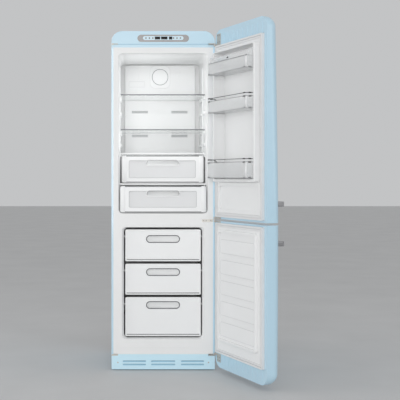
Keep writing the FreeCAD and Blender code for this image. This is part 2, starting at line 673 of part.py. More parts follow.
def gasket(seal_z):
    outer = soft_block(both(SEAL_HALF), (DOOR_FACE, FRONT - SEAL_PLAY), seal_z, "Y", 6.0)
    x_in = SEAL_HALF - SEAL_WIDTH
    z_in = (seal_z[0] + SEAL_WIDTH, seal_z[1] - SEAL_WIDTH)
    ring = outer.cut(block(both(x_in), (DOOR_FACE - 1, FRONT), z_in))
    mid = SEAL_HALF - SEAL_WIDTH / 2
    groove_out = block(both(mid + 2), (DOOR_FACE + 9, FRONT), (seal_z[0] + 9.5, seal_z[1] - 9.5))
    groove_in = block(both(mid - 2), (DOOR_FACE + 8, FRONT + 1), (seal_z[0] + 13.5, seal_z[1] - 13.5))
    return ring.cut(groove_out.cut(groove_in))


def handle(z, door_z):
    z_bar = (z - HANDLE_HIGH / 2, z + HANDLE_HIGH / 2)
    bar = soft_block(HANDLE_X, (HANDLE_FRONT, HANDLE_FRONT + HANDLE_DEEP), z_bar, "X", 4.5)
    posts = [soft_block(x, (HANDLE_FRONT + 5, DOOR_FACE - 60), (z - 13, z + 13), "Y", 5.0)
             for x in ((HANDLE_X[0], HANDLE_X[0] + 24), (HANDLE_X[1] - 24, HANDLE_X[1]))]
    return join([bar] + posts).cut(door_body(door_z, 0.0))


def bin_tub(spec):
    """An open-topped door bin with a thin floor and rounded front corners."""
    y = (BIN_BACK, spec["front"])
    low, high = spec["z"]
    outer = block(both(BIN_HALF), y, spec["z"])
    outer = outer.makeFillet(12.0, [e for e in outer.Edges if e.BoundBox.ZLength > 5
                                    and e.BoundBox.YMin > y[1] - 1])
    inner = block(both(BIN_HALF - BIN_WALL), (y[0] + BIN_WALL, y[1] - BIN_WALL), (low + BIN_WALL, high + 1))
    inner = inner.makeFillet(9.5, [e for e in inner.Edges if e.BoundBox.ZLength > 5
                                   and e.BoundBox.YMin > y[1] - BIN_WALL - 1])
    return outer.cut(inner)


def top_bin():
    """The covered bin: its ends rise into cheeks that hold the lid's pivots."""
    y, z = LID_PIVOT
    low = TOP_BIN["z"][1] - 20
    cheek = rounded(block((BIN_HALF - BIN_WALL, BIN_HALF), (-325.0, y + 7), (low, CHEEK_TOP)), "X", 5.0)
    hole = drum(V(-BIN_HALF - 1, y, z), "X", LID_PIN_R + PIN_PLAY, 2 * BIN_HALF + 2)
    return join([bin_tub(TOP_BIN), cheek, mirrored(cheek)]).cut(hole)


def bin_lid():
    """A clear flap that hangs from two pivots in the cheeks, with a small finger knob."""
    (y0, z0), (y1, z1) = LID_PIVOT, LID_FOOT
    length = math.hypot(y1 - y0, z1 - z0)
    lean = math.degrees(math.atan2(y1 - y0, z0 - z1))
    half = BIN_HALF - BIN_WALL - 1.0
    flap = block(both(half), (-1.25, 1.25), (-length, 0.0))
    knob = drum(V(0, 1.0, 12.0 - length), "Y", 3.5, 4.0)
    pivot = drum(V(-BIN_HALF, 0, 0), "X", LID_PIN_R, 2 * BIN_HALF)
    lid = join([flap, knob, pivot])
    lid.rotate(V(0, 0, 0), AXES["X"], lean)
    lid.translate(V(0, y0, z0))
    return lid


# ---------------------------------------------------------------- shelves and drawers
def shelf(top):
    return soft_block(both(SHELF_HALF), SHELF_Y, (top - SHELF_THICK, top), "X", 1.5)


def crisper_cover():
    return soft_block(both(SHELF_HALF), (-215.0, 160.0), COVER_Z, "X", 1.0)


def crisper_divider():
    trim = soft_block(both(249.6), (-262.0, -236.0), DIVIDER_Z, "X", 3.0)
    plate = block(both(246.0), (-240.0, 155.0), (DIVIDER_Z[0], DIVIDER_Z[0] + 5))
    return join([trim, plate])


def crisper_tub(spec, narrower):
    half, (low, high) = spec["half"] - narrower, spec["z"]
    y = (spec["front"] + CRISPER_PANEL, spec["back"])
    outer = soft_block(both(half), y, (low + 1.5, high - 6), "Z", 8.0)
    inner = soft_block(both(half - 2.5), (y[0] + 2.5, y[1] - 2.5), (low + 4, high), "Z", 5.5)
    finger_room = block(both(GRIP[0] / 2 + 2), (y[0] - 1, y[0] + 4), (high - 31 - GRIP[1], high))
    return cut(outer, inner, finger_room)


def crisper_front(spec):
    """The drawer's white front: a rounded frame with a window and a grip slot above it."""
    low, high = spec["z"]
    y = (spec["front"], spec["front"] + CRISPER_PANEL)
    through = (y[0] - 1, y[1] + 1)
    panel = soft_block(both(spec["half"]), y, spec["z"], "Y", 12.0)
    panel = panel.makeFillet(2.0, [e for e in panel.Edges if e.BoundBox.YMax < y[0] + 0.01])
    window = soft_block((-198.0, 194.0), through, (low + 30, high - 30), "Y", 7.0)
    pocket = soft_block((-GRIP[0] / 2 - 3, GRIP[0] / 2 + 3), y, (high - 32 - GRIP[1], high - 26), "Y", 8.0)
    grip = soft_block((-GRIP[0] / 2, GRIP[0] / 2), through, (high - 29 - GRIP[1], high - 29), "Y", 12.0)
    return join([panel.cut(window), pocket]).cut(grip)


def freezer_drawer(spec):
    """A white drawer: front panel with a stadium-shaped hand slot, and the tub behind it."""
    low, high = spec["z"]
    y0 = DRAWER_FRONT
    panel = soft_block(both(DRAWER_HALF), (y0, y0 + 7), spec["z"], "Y", 7.0)
    panel = panel.makeFillet(2.0, [e for e in panel.Edges if e.BoundBox.YMax < y0 + 0.01])
    rim = high - 34.0
    tub = soft_block(both(208.0), (y0 + 4, spec["back"]), (low + 3, rim), "Z", 3.0)
    flange = block(both(219.0), (y0 + 5, spec["back"]), (rim - 3, rim))
    inside = soft_block(both(205.5), (y0 + 7, spec["back"] - 2.5), (low + 5.5, rim + 1), "Z", 2.0)
    slot = stadium(0.0, spec["slot"], DRAWER_SLOT, (y0 - 1, y0 + 29))
    pocket = stadium(0.0, spec["slot"], (DRAWER_SLOT[0] + 5, DRAWER_SLOT[1] + 5), (y0 + 5, y0 + 31.5))
    return cut(join([join([panel, tub, flange]).cut(inside), pocket]), slot)


# ---------------------------------------------------------------- all the nodes
def build():
    upper_liner, upper_foam = upper_door_liner_and_foam()
    lower_liner, lower_foam = lower_door_liner_and_foam()
    nodes = {
        "cabinet_shell": join([cabinet_shell(), back_trim()]),
        "back_panel": back_panel(),
        "cabinet_foam": cabinet_foam(),
        "front_frame": front_frame(),
        "fridge_liner": fridge_liner(),
        "freezer_liner": freezer_liner(),
        "air_duct_cover": air_duct_cover(),
        "fan_cover": fan_cover(),
        "fridge_fan": fridge_fan(),
        "side_light": side_light_box(),
        "control_fascia": control_fascia(),
        "control_surround": control_surround(),
        "control_insert": control_insert(),
        "kick_plate": kick_plate(),
        "kick_plate_screws": kick_plate_screws(),
        "hinge_slot_plugs": hinge_slot_plugs(),
        "hinge_brackets": hinge_brackets(),
        "base_pan": base_pan(),
        "rear_rollers": rear_rollers(),
        "compressor": compressor(),
        "condenser": condenser(),
        "power_inlet": power_inlet(),
        "evaporator": evaporator(),
        "evaporator_cover": evaporator_cover(),
        "crisper_divider": crisper_divider(),
        "crisper_cover": crisper_cover(),
        "crisper_upper_tub": crisper_tub(UPPER_CRISPER, 0.0),
        "crisper_upper_front": crisper_front(UPPER_CRISPER),
        "crisper_lower_tub": crisper_tub(LOWER_CRISPER, 12.0),
        "crisper_lower_front": crisper_front(LOWER_CRISPER),
        "foot_left": foot(-FOOT_X),
        "foot_right": foot(FOOT_X),
    }
    for name, top in SHELF_TOPS.items():
        nodes[name] = shelf(top)
    for name, spec in DRAWERS.items():
        nodes[name] = freezer_drawer(spec)
    for number, x in enumerate(BUTTON_X, start=1):
        nodes[f"button_{number}"] = button(x)
    door_pieces = {
        "upper_door_skin": door_skin(UPPER_DOOR_Z, UPPER_SEAL_Z, (1879.0, 1940.0)),
        "upper_door_foam": upper_foam,
        "upper_door_liner": upper_liner,
        "upper_door_gasket": gasket(UPPER_SEAL_Z),
        "upper_door_hinges": hinge_plates([(1878.0, 1889.5), (880.5, 890.0)], (1889.0, 1945.0)),
        "upper_door_handle": handle(UPPER_HANDLE_Z, UPPER_DOOR_Z),
        "lower_door_skin": door_skin(LOWER_DOOR_Z, LOWER_SEAL_Z, (50.0, 110.0)),
        "lower_door_foam": lower_foam,
        "lower_door_liner": lower_liner,
        "lower_door_gasket": gasket(LOWER_SEAL_Z),
        "lower_door_hinges": hinge_plates([(92.5, 103.0), (860.0, 867.5)], (57.0, 93.0)),
        "lower_door_handle": handle(LOWER_HANDLE_Z, LOWER_DOOR_Z),
        "top_bin": top_bin(),
        "bin_lid": bin_lid(),
        "middle_bin": bin_tub(MIDDLE_BIN),
        "bottom_bin": bin_tub(BOTTOM_BIN),
    }
    for name, shape in door_pieces.items():
        nodes[name] = swing(shape)
    return nodes


if __name__ == "__main__":
    os.makedirs("parts", exist_ok=True)
    for node, shape in build().items():
        if not shape.isValid():
            raise SystemExit(f"{node} is not a valid shape")
        shape.exportStep(f"parts/{node}.step")
        print(f"{node:24s} {len(shape.Solids)} solids  {shape.Volume / 1e6:8.3f} l")
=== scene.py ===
# %% [markdown]
# # A two-door fridge freezer with its doors open
# The solid frame of the appliance is already made: every panel, liner, bin and hinge is loaded
# as it was designed. This lesson gives each piece its finish, adds the small trims that are too
# fine for the frame, and sets up the light and the camera.

import json
import math

import bmesh
import bpy
from mathutils import Matrix, Vector


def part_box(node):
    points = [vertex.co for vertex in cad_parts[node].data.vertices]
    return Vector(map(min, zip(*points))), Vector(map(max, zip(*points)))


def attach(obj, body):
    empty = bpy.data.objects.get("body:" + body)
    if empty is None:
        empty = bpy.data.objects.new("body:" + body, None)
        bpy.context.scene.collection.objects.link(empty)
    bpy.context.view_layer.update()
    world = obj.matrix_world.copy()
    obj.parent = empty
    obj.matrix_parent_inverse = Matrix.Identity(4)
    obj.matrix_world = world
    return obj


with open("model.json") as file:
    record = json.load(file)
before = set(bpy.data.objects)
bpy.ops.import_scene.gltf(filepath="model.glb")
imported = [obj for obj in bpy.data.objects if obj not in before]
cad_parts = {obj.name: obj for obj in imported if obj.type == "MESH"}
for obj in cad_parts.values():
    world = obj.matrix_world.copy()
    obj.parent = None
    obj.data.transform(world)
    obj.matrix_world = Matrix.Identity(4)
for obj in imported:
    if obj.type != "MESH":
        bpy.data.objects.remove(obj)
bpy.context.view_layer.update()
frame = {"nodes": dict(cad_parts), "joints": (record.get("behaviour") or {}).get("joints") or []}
MM = 0.001

# %% [markdown]
# The doors were drawn shut and then swung open about one hinge line. A trim on a door could be
# placed where the open door stands, but its edges would be askew to every axis. It is easier to
# make it on the shut door and turn it afterwards, so this cell reads the hinge from the frame
# and keeps the turn that opens a door.

# %% The open doors
SEAL_GAP = 16.0
door_hinge = {joint["name"]: joint for joint in frame["joints"]}["upper_door_hinge"]
open_angle = math.radians(-door_hinge["range_deg"][0])
hinge_x, hinge_y, _ = door_hinge["pos_m"]
SWING = (Matrix.Translation((hinge_x, hinge_y, 0)) @ Matrix.Rotation(open_angle, 4, "Z")
         @ Matrix.Translation((-hinge_x, -hinge_y, 0)))
cabinet_low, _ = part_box("cabinet_shell")
DOOR_FACE = cabinet_low[1] / MM - SEAL_GAP
print("doors stand open by", round(math.degrees(open_angle)), "degrees")

# %% [markdown]
# A finish is a small graph of nodes. Each could be built by hand, but most of them share the
# same skeleton: a shader, a wide noise that makes the colour uneven by a few percent, and a
# fine noise that roughens the surface. One helper builds that skeleton, so each finish below
# only says what is special to it.

# %% A helper for finishes
GRAIN_DEPTH = 0.0005


def finish(name, light, dark, roughness, mottle=6.0, grain=900.0, bump=0.02, **sockets):
    """A shader whose colour drifts between two tones, with a fine grain in its surface."""
    material = bpy.data.materials.new(name)
    material.use_nodes = True
    nodes, links = material.node_tree.nodes, material.node_tree.links
    shader = nodes["Principled BSDF"]
    place = nodes.new("ShaderNodeTexCoord")
    drift = nodes.new("ShaderNodeTexNoise")
    drift.inputs["Scale"].default_value = mottle
    drift.inputs["Detail"].default_value = 4.0
    tones = nodes.new("ShaderNodeValToRGB")
    tones.color_ramp.elements[0].position = 0.3
    tones.color_ramp.elements[1].position = 0.7
    tones.color_ramp.elements[0].color = (*dark, 1)
    tones.color_ramp.elements[1].color = (*light, 1)
    fine = nodes.new("ShaderNodeTexNoise")
    fine.inputs["Scale"].default_value = grain
    fine.inputs["Detail"].default_value = 3.0
    relief = nodes.new("ShaderNodeBump")
    relief.inputs["Strength"].default_value = bump
    relief.inputs["Distance"].default_value = GRAIN_DEPTH
    links.new(place.outputs["Object"], drift.inputs["Vector"])
    links.new(place.outputs["Object"], fine.inputs["Vector"])
    links.new(drift.outputs["Fac"], tones.inputs["Fac"])
    links.new(tones.outputs["Color"], shader.inputs["Base Color"])
    links.new(fine.outputs["Fac"], relief.inputs["Height"])
    links.new(relief.outputs["Normal"], shader.inputs["Normal"])
    shader.inputs["Roughness"].default_value = roughness
    for socket, value in sockets.items():
        shader.inputs[socket.replace("_", " ")].default_value = value
    return material


print("finish helper ready")

# %% [markdown]
# The coloured skin is enamel on steel: a smooth pastel under a clear coat, with the faint
# orange-peel ripple of sprayed paint. A flat colour would look like card, so a soft, wide noise
# in the bump gives that ripple and the coat gives a second, sharper gloss. The plastic trims
# are painted to match and a little duller.

# %% Enamel and painted trims
enamel = finish("pastel_enamel", (0.52, 0.725, 0.85), (0.51, 0.715, 0.843), 0.28, mottle=1.5, grain=260.0,
                bump=0.06, Coat_Weight=0.6, Coat_Roughness=0.08)
trim_blue = finish("pastel_trim", (0.535, 0.735, 0.85), (0.522, 0.725, 0.843), 0.34, mottle=2.0,
                   grain=700.0, bump=0.05, Coat_Weight=0.25, Coat_Roughness=0.2)
# The kick plate's blue is a lighter copy of the trim blue: painted light that brightens the low plate.
lit_kick_blue = finish("kick_plate_lit_blue", (0.62, 0.85, 0.96), (0.605, 0.84, 0.95), 0.34, mottle=2.0,
                   grain=700.0, bump=0.05, Coat_Weight=0.25, Coat_Roughness=0.2)
# The deeper blue is painted shade: it darkens the blades inside the kick plate's slots and the seam under the
# fascia.
shaded_blue = finish("shaded_blue", (0.33, 0.56, 0.70), (0.31, 0.54, 0.68), 0.45, grain=700.0, bump=0.05)
insert_blue = finish("panel_insert_blue", (0.66, 0.82, 0.90), (0.64, 0.80, 0.885), 0.3, mottle=9.0)
# The ribs' lighter blue is a painted highlight on their crests.
rib_highlight_blue = finish("rib_highlight_blue", (0.60, 0.78, 0.88), (0.58, 0.765, 0.87), 0.3, mottle=2.0, bump=0.05)
print("enamel and trims ready")

# %% [markdown]
# Inside, everything is moulded or formed plastic in slightly different whites. One white for
# all would melt the pieces into each other. The liner is formed sheet with a satin, barely
# pebbled face; the drawers are injection-moulded and a little glossier; the seal is soft and
# matt.

# %% Whites
liner_white = finish("liner_white", (0.87, 0.875, 0.875), (0.845, 0.85, 0.85), 0.42, mottle=3.0,
                     grain=1400.0, bump=0.08)
moulded_white = finish("moulded_white", (0.88, 0.885, 0.885), (0.86, 0.865, 0.865), 0.3, mottle=4.0,
                       grain=1800.0, bump=0.05)
frame_white = finish("frame_white", (0.86, 0.86, 0.855), (0.84, 0.84, 0.835), 0.38, mottle=3.0,
                     grain=1200.0, bump=0.06)
seal_white = finish("seal_white", (0.80, 0.805, 0.81), (0.76, 0.765, 0.77), 0.6, mottle=12.0, bump=0.12)
lamp_lens = finish("lamp_lens", (0.95, 0.96, 0.97), (0.92, 0.93, 0.94), 0.3,
                   Emission_Color=(1.0, 1.0, 1.0, 1.0), Emission_Strength=0.12)
print("whites ready")

# %% [markdown]
# Clear plastic and glass let the wall behind show through. Full transmission would bend light
# in walls this thin and darken the inside, so a low alpha with a sharp gloss is used instead:
# it reads as a thin clear wall and keeps the inside bright.

# %% Clear materials
glass = finish("shelf_glass", (0.86, 0.905, 0.90), (0.84, 0.885, 0.88), 0.05, bump=0.0, Alpha=0.22, IOR=1.5)
clear_plastic = finish("clear_plastic", (0.93, 0.94, 0.945), (0.91, 0.92, 0.925), 0.12, mottle=5.0,
                       Alpha=0.40, IOR=1.49)
# A near-opaque bright white for the bins' corner uprights, which paint the highlight on their rounded
# corners.
painted_highlight_plastic = finish("painted_highlight_plastic", (0.97, 0.975, 0.98), (0.95, 0.955, 0.96), 0.1, mottle=5.0,
                        Alpha=0.85, IOR=1.49)
frosted_plastic = finish("frosted_plastic", (0.93, 0.935, 0.94), (0.90, 0.905, 0.91), 0.35, mottle=5.0,
                         grain=1500.0, bump=0.1, Alpha=0.8, IOR=1.49)
print("clear materials ready")

# %% [markdown]
# The metals differ mostly in roughness. The handles are polished, the hinge plates are plain
# steel with a fine grain, the sheet at the back is zinc-coated, and the compressor and its coil
# are painted black. All of them come from the same helper, because only their numbers differ.

# %% Metals
handle_metal = finish("handle_metal", (0.41, 0.41, 0.42), (0.37, 0.37, 0.38), 0.3, mottle=8.0, grain=2500.0,
                      bump=0.03, Metallic=1.0)
rail_grey = finish("rail_grey", (0.11, 0.113, 0.12), (0.085, 0.088, 0.095), 0.35, mottle=30.0, grain=1500.0,
                   bump=0.03, Metallic=0.3)
plain_steel = finish("plain_steel", (0.58, 0.56, 0.52), (0.50, 0.48, 0.45), 0.4, mottle=60.0, grain=2600.0,
                     bump=0.1, Metallic=0.5)
satin_grey = finish("satin_grey", (0.275, 0.265, 0.262), (0.25, 0.24, 0.238), 0.34, mottle=25.0,
                    grain=2200.0, bump=0.05, Metallic=0.3)
zinc = finish("zinc_sheet", (0.60, 0.62, 0.63), (0.55, 0.57, 0.58), 0.42, mottle=45.0, grain=300.0,
              bump=0.05, Metallic=0.7)
copper = finish("copper_pipe", (0.80, 0.45, 0.30), (0.62, 0.32, 0.20), 0.28, mottle=40.0, Metallic=1.0)
fin_metal = finish("fin_metal", (0.74, 0.75, 0.76), (0.66, 0.67, 0.68), 0.35, mottle=40.0, Metallic=0.9)
dark_enamel = finish("dark_enamel", (0.022, 0.022, 0.024), (0.014, 0.014, 0.016), 0.3, mottle=20.0,
                     grain=400.0, bump=0.15, Coat_Weight=0.3)
print("metals ready")

# %% [markdown]
# Small trims are moulded in greys from nearly black to nearly white. The lighter ones serve for
# outlines: a real moulding has a fine shadow at its edge, and a thin grey line stands for it
# where the edge itself is too small to shade. The display glass reflects little, so that the
# lamps don't turn it white.

# %% Greys, blacks and foam
dark_plastic = finish("dark_plastic", (0.04, 0.04, 0.042), (0.028, 0.028, 0.03), 0.5, mottle=30.0, bump=0.12)
display_black = finish("display_black", (0.006, 0.006, 0.008), (0.004, 0.004, 0.005), 0.25, bump=0.0,
                       Specular_IOR_Level=0.15)
shelf_edge = finish("shelf_edge", (0.13, 0.135, 0.14), (0.11, 0.115, 0.12), 0.35, mottle=20.0, bump=0.04)
button_grey = finish("button_grey", (0.17, 0.165, 0.165), (0.14, 0.135, 0.135), 0.4, mottle=50.0, bump=0.06)
shelf_trim = finish("shelf_trim", (0.25, 0.255, 0.26), (0.22, 0.225, 0.23), 0.35, mottle=20.0, bump=0.04)
grey_plastic = finish("grey_plastic", (0.34, 0.355, 0.37), (0.30, 0.315, 0.33), 0.4, mottle=50.0, bump=0.06)
outline_grey = finish("outline_grey", (0.50, 0.505, 0.51), (0.46, 0.465, 0.47), 0.5, mottle=20.0, bump=0.04)
faint_grey = finish("faint_grey", (0.70, 0.705, 0.71), (0.66, 0.665, 0.67), 0.5, mottle=20.0, bump=0.04)
beige = finish("beige_plastic", (0.66, 0.64, 0.58), (0.60, 0.58, 0.53), 0.5, mottle=60.0, bump=0.08)
foam = finish("insulating_foam", (0.80, 0.72, 0.48), (0.70, 0.60, 0.36), 0.9, mottle=60.0, grain=500.0,
              bump=0.6)
print("greys, blacks and foam ready")

# %% [markdown]
# Now each loaded node takes its finish. A table from node to finish is easy to read and to
# check, and a node that it forgets stops the script. The buttons are alike and the doors carry
# the same set of pieces, so their names are made in loops.

# %% Dress the nodes
node_finish = {
    "cabinet_shell": enamel, "back_panel": zinc, "cabinet_foam": foam, "front_frame": frame_white,
    "fridge_liner": liner_white, "freezer_liner": liner_white, "air_duct_cover": liner_white,
    "fan_cover": moulded_white, "fridge_fan": moulded_white, "side_light": lamp_lens,
    "control_fascia": trim_blue, "control_surround": satin_grey, "control_insert": insert_blue,
    "kick_plate": lit_kick_blue, "kick_plate_screws": plain_steel, "hinge_slot_plugs": beige,
    "hinge_brackets": plain_steel, "base_pan": zinc, "rear_rollers": dark_plastic,
    "compressor": dark_enamel, "condenser": dark_enamel, "power_inlet": dark_plastic,
    "evaporator": fin_metal, "evaporator_cover": liner_white, "crisper_divider": moulded_white,
    "crisper_cover": glass, "crisper_upper_tub": frosted_plastic, "crisper_upper_front": moulded_white,
    "crisper_lower_tub": frosted_plastic, "crisper_lower_front": moulded_white,
    "foot_left": dark_plastic, "foot_right": dark_plastic, "shelf_upper": glass, "shelf_lower": glass,
    "freezer_drawer_top": moulded_white, "freezer_drawer_middle": moulded_white,
    "freezer_drawer_bottom": moulded_white, "top_bin": clear_plastic, "bin_lid": clear_plastic,
    "middle_bin": clear_plastic, "bottom_bin": clear_plastic,
}
for number in range(1, 7):
    node_finish[f"button_{number}"] = button_grey
door_finish = {"skin": enamel, "foam": foam, "liner": liner_white, "gasket": seal_white,
               "hinges": plain_steel, "handle": handle_metal}
for door in ("upper_door", "lower_door"):
    for part, material in door_finish.items():
        node_finish[f"{door}_{part}"] = material
for node, thing in frame["nodes"].items():
    thing.data.materials.clear()
    thing.data.materials.append(node_finish[node])
print("dressed", len(node_finish), "nodes")

# %% [markdown]
# Every added trim ends in the same way: it is turned with its door if it sits on one, takes its
# finish, shades smoothly, and rides on its body. One function does all of that, so no trim can
# be left without a body or a slot. Two more read a node's box in millimetres, as it stands or
# as it would stand on the shut door.

# %% Helpers for placing
def settle(piece, body, material, in_door):
    """Put a finished mesh on its body, with its finish."""
    if in_door:
        piece.data.transform(SWING)
    piece.data.materials.append(material)
    for face in piece.data.polygons:
        face.use_smooth = True
    bpy.context.scene.collection.objects.link(piece)
    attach(piece, body)


def mm_box(node):
    """A node's lowest and highest corners at rest."""
    low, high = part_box(node)
    return [value / MM for value in low], [value / MM for value in high]


def shut_box(node):
    """The lowest and highest corners of a door's node, as it stands on the shut door."""
    back = SWING.inverted()
    spots = [back @ vertex.co for vertex in frame["nodes"][node].data.vertices]
    return ([min(spot[i] for spot in spots) / MM for i in range(3)],
            [max(spot[i] for spot in spots) / MM for i in range(3)])


print("placing helpers ready")

# %% [markdown]
# Most trims are slim bars, and a few are plates that lean. A cube that is scaled and bevelled
# by a modifier would do, but its bevel is stretched with it. Here the eight corners are set at
# their true places first and the edges are rounded after, so every edge is equally soft.

# %% Bars and leaning plates
BLOCK_FACES = ((0, 1, 3, 2), (4, 6, 7, 5), (0, 4, 5, 1), (2, 3, 7, 6), (0, 2, 6, 4), (1, 5, 7, 3))
EDGE_PROFILE = 0.6
PLATE_EDGE = 0.4


def finished_mesh(name, shape):
    """Turn a bmesh into an object, with its faces turned outwards."""
    bmesh.ops.recalc_face_normals(shape, faces=shape.faces[:])
    mesh = bpy.data.meshes.new(name)
    shape.to_mesh(mesh)
    shape.free()
    return bpy.data.objects.new(name, mesh)


def rounded_block(name, corners, edge, segments):
    """A block from its eight corners in millimetres, with rounded edges."""
    shape = bmesh.new()
    points = [shape.verts.new(Vector(corner) * MM) for corner in corners]
    for loop in BLOCK_FACES:
        shape.faces.new([points[i] for i in loop])
    bmesh.ops.bevel(shape, geom=shape.edges[:], offset=edge * MM, segments=segments, profile=EDGE_PROFILE,
                    affect="EDGES")
    return finished_mesh(name, shape)


def bar(name, x, y, z, edge, body, material, in_door=False):
    """A bar from three (low, high) pairs in millimetres."""
    corners = [(px, py, pz) for px in x for py in y for pz in z]
    settle(rounded_block(name, corners, edge, 3), body, material, in_door)


def slant(name, x, foot, head, thick, body, material):
    """A thin plate that leans from foot to head, both given as (y, z) in millimetres."""
    lean = Vector((0, head[0] - foot[0], head[1] - foot[1])).normalized()
    through = Vector((0, lean.z, -lean.y)) * thick
    corners = [Vector((px, py, pz)) + offset for px in x for py, pz in (foot, head)
               for offset in (Vector(), through)]
    settle(rounded_block(name, corners, PLATE_EDGE, 2), body, material, False)


print("bar and plate helpers ready")

# %% [markdown]
# Rails, beads, pipes and outlines are round rods. A curve with a bevel could make them, but
# their corners would need handles set by hand. This helper takes only the corner points, turns
# each corner into a short curve, and skins rings of vertices along the path.

# %% Rods
ROD_SIDES = 10
CORNER_STEPS = 6


def soften(points, bend, closed):
    """Replace each corner of a path by a short curve that starts this far before it."""
    points = [Vector(point) for point in points]
    count = len(points)
    path = []
    for index, corner in enumerate(points):
        if not closed and index in (0, count - 1):
            path.append(corner)
            continue
        before, after = points[index - 1], points[(index + 1) % count]
        reach = min(bend, (before - corner).length / 2.01, (after - corner).length / 2.01)
        start = corner + (before - corner).normalized() * reach
        end = corner + (after - corner).normalized() * reach
        for step in range(CORNER_STEPS + 1):
            t = step / CORNER_STEPS
            path.append(start * (1 - t) ** 2 + corner * 2 * t * (1 - t) + end * t ** 2)
    return path


def ring_at(shape, point, along, radius):
    """A ring of vertices round one point of a path."""
    side = along.cross(Vector((0, 0, 1)))
    side = side.normalized() if side.length > 0.1 else Vector((1, 0, 0))
    up = side.cross(along).normalized()
    turns = [2 * math.pi * step / ROD_SIDES for step in range(ROD_SIDES)]
    return [shape.verts.new((point + (side * math.cos(turn) + up * math.sin(turn)) * radius) * MM)
            for turn in turns]


def rod(name, points, radius, body, material, in_door=False, closed=False, bend=8.0):
    """A round rod through the given points in millimetres, with softly bent corners."""
    path = soften(points, bend, closed)
    count = len(path)
    shape = bmesh.new()
    rings = []
    for index, point in enumerate(path):
        before = path[index - 1] if closed or index else point
        after = path[(index + 1) % count] if closed or index + 1 < count else point
        rings.append(ring_at(shape, point, (after - before).normalized(), radius))
    for first, second in zip(rings, rings[1:] + rings[:1] if closed else rings[1:]):
        for step in range(ROD_SIDES):
            following = (step + 1) % ROD_SIDES
            shape.faces.new((first[step], first[following], second[following], second[step]))
    if not closed:
        shape.faces.new(list(reversed(rings[0])))
        shape.faces.new(rings[-1])
    settle(finished_mesh(name, shape), body, material, in_door)


print("rod helper ready")

# %% [markdown]
# A glass shelf gets a slim moulded strip along its front edge and another along the back. The
# front strip is what the eye sees of a shelf from straight ahead, so it is a shade darker than
# the walls. Bars are enough, because the real strips are straight extrusions. The glass over
# the crispers has a white strip in front only.

# %% Shelf trims
SHELF_STRIP_EDGE = 1.6
COVER_STRIP_EDGE = 1.4
for node in ("shelf_upper", "shelf_lower"):
    low, high = mm_box(node)
    strip_z = (high[2] - 5, high[2] + 1)
    bar(f"{node}_front_trim", (low[0] + 0.2, high[0] - 0.2), (low[1] - 1.5, low[1] + 10), strip_z,
        SHELF_STRIP_EDGE, node, shelf_edge)
    bar(f"{node}_back_trim", (low[0] + 12, high[0] - 12), (high[1] - 9, high[1] + 1.5), strip_z,
        SHELF_STRIP_EDGE, node, faint_grey)
low, high = mm_box("crisper_cover")
bar("crisper_cover_front_trim", (low[0] + 0.2, high[0] - 0.2), (low[1] - 1.5, low[1] + 9),
    (low[2] - 1, high[2] + 1), COVER_STRIP_EDGE, "crisper_cover", moulded_white)
print("shelf trims made")

# %% [markdown]
# The middle and bottom door bins carry a slim guard rail above the rim: a rod that runs along
# the front and bends down into the bin at each end. Small dark clips hold the rail and the rim
# at the corners. A bent rod follows the real rail's wire, which no bar could do.

# %% Bin rails
RAIL_ABOVE_RIM = 17.0
RAIL_RADIUS = 1.9
RAIL_BEND = 14.0
CLIP_HALF_HIGH = 3.4
CLIP_EDGE = 1.2


def corner_clips(node, low, high, height, material):
    """Clips at one height: one on the front and one on the end wall, at both corners."""
    clip_z = (height - CLIP_HALF_HIGH, height + CLIP_HALF_HIGH)
    for side, edge, inward in (("left", low[0], 1), ("right", high[0], -1)):
        front_x = sorted((edge + 9 * inward, edge + 30 * inward))
        end_x = sorted((edge - 1.6 * inward, edge + 1.5 * inward))
        bar(f"{node}_front_clip_{side}_{round(height)}", front_x, (high[1] - 2.0, high[1] + 1.6), clip_z,
            CLIP_EDGE, node, material, in_door=True)
        bar(f"{node}_end_clip_{side}_{round(height)}", end_x, (high[1] - 32, high[1] - 16), clip_z,
            CLIP_EDGE, node, material, in_door=True)


for node in ("middle_bin", "bottom_bin"):
    low, high = shut_box(node)
    rail_z, root_z = high[2] + RAIL_ABOVE_RIM, high[2] - 4
    x0, x1, y1 = low[0] + 2.5, high[0] - 2.5, high[1] - 2.0
    rod(f"{node}_rail", [(x0, y1 - 62, root_z), (x0, y1 - 48, rail_z), (x0, y1, rail_z), (x1, y1, rail_z),
                         (x1, y1 - 48, rail_z), (x1, y1 - 62, root_z)],
        RAIL_RADIUS, node, rail_grey, in_door=True, bend=RAIL_BEND)
    corner_clips(node, low, high, rail_z, dark_plastic)
    corner_clips(node, low, high, high[2] - 1, dark_plastic)
print("bin rails made")

# %% [markdown]
# Each bin ends in a thicker bead along its rim and its foot, and has clips at its foot. A bright,
# nearly opaque upright at each front corner is a painted highlight on the rounded clear plastic.
# The beads are rods, because a moulded bead is round. The top bin's highest point is its
# cheeks, which carry the lid, so its rim has a height of its own.

